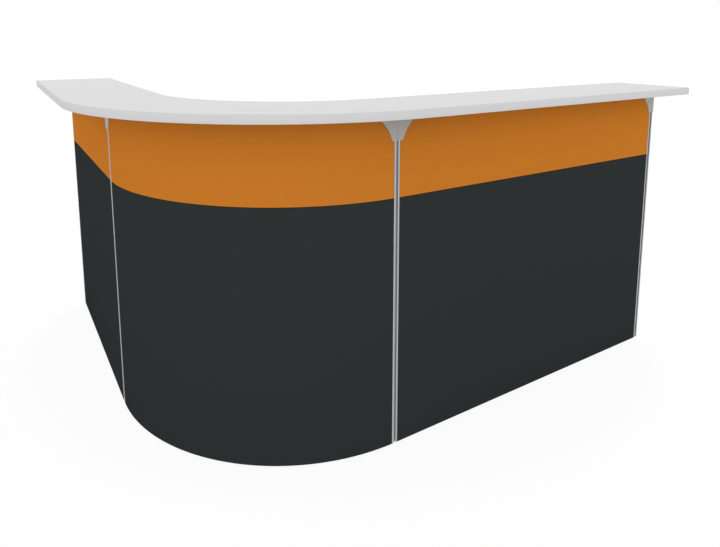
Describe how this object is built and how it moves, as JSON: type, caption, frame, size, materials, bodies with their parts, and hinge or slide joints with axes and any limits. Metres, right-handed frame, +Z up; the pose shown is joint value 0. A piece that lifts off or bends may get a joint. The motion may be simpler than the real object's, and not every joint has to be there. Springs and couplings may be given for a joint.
{
  "type": "reception counter",
  "caption": "L-shaped reception and checkout counter: fabric-tiled screens on slotted posts with a rounded corner, a raised ledge on flared brackets and a worktop inside.",
  "frame": {"origin": "on the floor, below the middle of the counter's box", "axes": "+X along the longer wing, away from the corner; +Y along the shorter wing, from the corner to the inside; +Z up"},
  "size_m": [2.034, 1.709, 1.05],
  "materials": {
    "orange_fabric": "fine plain weave stretched over a board",
    "charcoal_fabric": "fine plain weave stretched over a board",
    "white_laminate": "white laminated chipboard with a matching edge band",
    "silver_aluminium": "satin anodised extrusion",
    "grey_metal": "satin grey powder coat",
    "zinc_steel": "zinc plated sheet",
    "grey_plastic": "fine texture",
    "black_plastic": "plain"
  },
  "bodies": {
    "counter": {"corner_bottom_rail": "zinc_steel", "corner_inner_lower_tile": "charcoal_fabric", "corner_inner_upper_tile": "orange_fabric", "corner_ledge": "white_laminate", "corner_middle_rail": "zinc_steel", "corner_outer_lower_tile": "charcoal_fabric", "corner_outer_upper_tile": "orange_fabric", "corner_port_liner": "grey_plastic", "corner_top_rail": "zinc_steel", "corner_worktop": "white_laminate", "left_bottom_rail": "zinc_steel", "left_corner_arm": "grey_metal", "left_corner_ledge_bracket": "grey_metal", "left_corner_post": "silver_aluminium", "left_end_arm": "grey_metal", "left_end_cover": "grey_plastic", "left_end_ledge_bracket": "grey_metal", "left_end_post": "silver_aluminium", "left_inner_lower_tile": "charcoal_fabric", "left_inner_upper_tile": "orange_fabric", "left_joint_plate": "zinc_steel", "left_ledge": "white_laminate", "left_leg": "silver_aluminium", "left_middle_rail": "zinc_steel", "left_outer_lower_tile": "charcoal_fabric", "left_outer_upper_tile": "orange_fabric", "left_top_rail": "zinc_steel", "left_worktop": "white_laminate", "right_bottom_rail": "zinc_steel", "right_corner_arm": "grey_metal", "right_corner_ledge_bracket": "grey_metal", "right_corner_post": "silver_aluminium", "right_end_arm": "grey_metal", "right_end_cover": "grey_plastic", "right_end_ledge_bracket": "grey_metal", "right_end_post": "silver_aluminium", "right_inner_lower_tile": "charcoal_fabric", "right_inner_upper_tile": "orange_fabric", "right_joint_plate": "zinc_steel", "right_ledge": "white_laminate", "right_leg": "silver_aluminium", "right_middle_rail": "zinc_steel", "right_outer_lower_tile": "charcoal_fabric", "right_outer_upper_tile": "orange_fabric", "right_port_liner": "grey_plastic", "right_top_rail": "zinc_steel", "right_worktop": "white_laminate"},
    "left_corner_foot": {"left_corner_foot": "black_plastic"},
    "left_end_foot": {"left_end_foot": "black_plastic"},
    "right_corner_foot": {"right_corner_foot": "black_plastic"},
    "right_end_foot": {"right_end_foot": "black_plastic"},
    "left_leg_foot": {"left_leg_foot": "black_plastic"},
    "right_leg_foot": {"right_leg_foot": "black_plastic"},
    "corner_port_cap": {"corner_port_cap": "grey_plastic"},
    "right_port_cap": {"right_port_cap": "grey_plastic"}
  },
  "joints": [
    {"name": "left_corner_foot_level", "type": "slide", "parent": "counter", "child": "left_corner_foot", "axis": [0, 0, -1], "range_m": [0, 0.012]},
    {"name": "left_end_foot_level", "type": "slide", "parent": "counter", "child": "left_end_foot", "axis": [0, 0, -1], "range_m": [0, 0.012]},
    {"name": "right_corner_foot_level", "type": "slide", "parent": "counter", "child": "right_corner_foot", "axis": [0, 0, -1], "range_m": [0, 0.012]},
    {"name": "right_end_foot_level", "type": "slide", "parent": "counter", "child": "right_end_foot", "axis": [0, 0, -1], "range_m": [0, 0.012]},
    {"name": "left_leg_foot_level", "type": "slide", "parent": "counter", "child": "left_leg_foot", "axis": [0, 0, -1], "range_m": [0, 0.015]},
    {"name": "right_leg_foot_level", "type": "slide", "parent": "counter", "child": "right_leg_foot", "axis": [0, 0, -1], "range_m": [0, 0.015]},
    {"name": "corner_port_cap_turn", "type": "hinge", "parent": "counter", "child": "corner_port_cap", "pos_m": [-0.60053, -0.43803, 0.73], "axis": [0, 0, 1], "continuous": true},
    {"name": "right_port_cap_turn", "type": "hinge", "parent": "counter", "child": "right_port_cap", "pos_m": [0.5843, -0.608, 0.73], "axis": [0, 0, 1], "continuous": true}
  ]
}
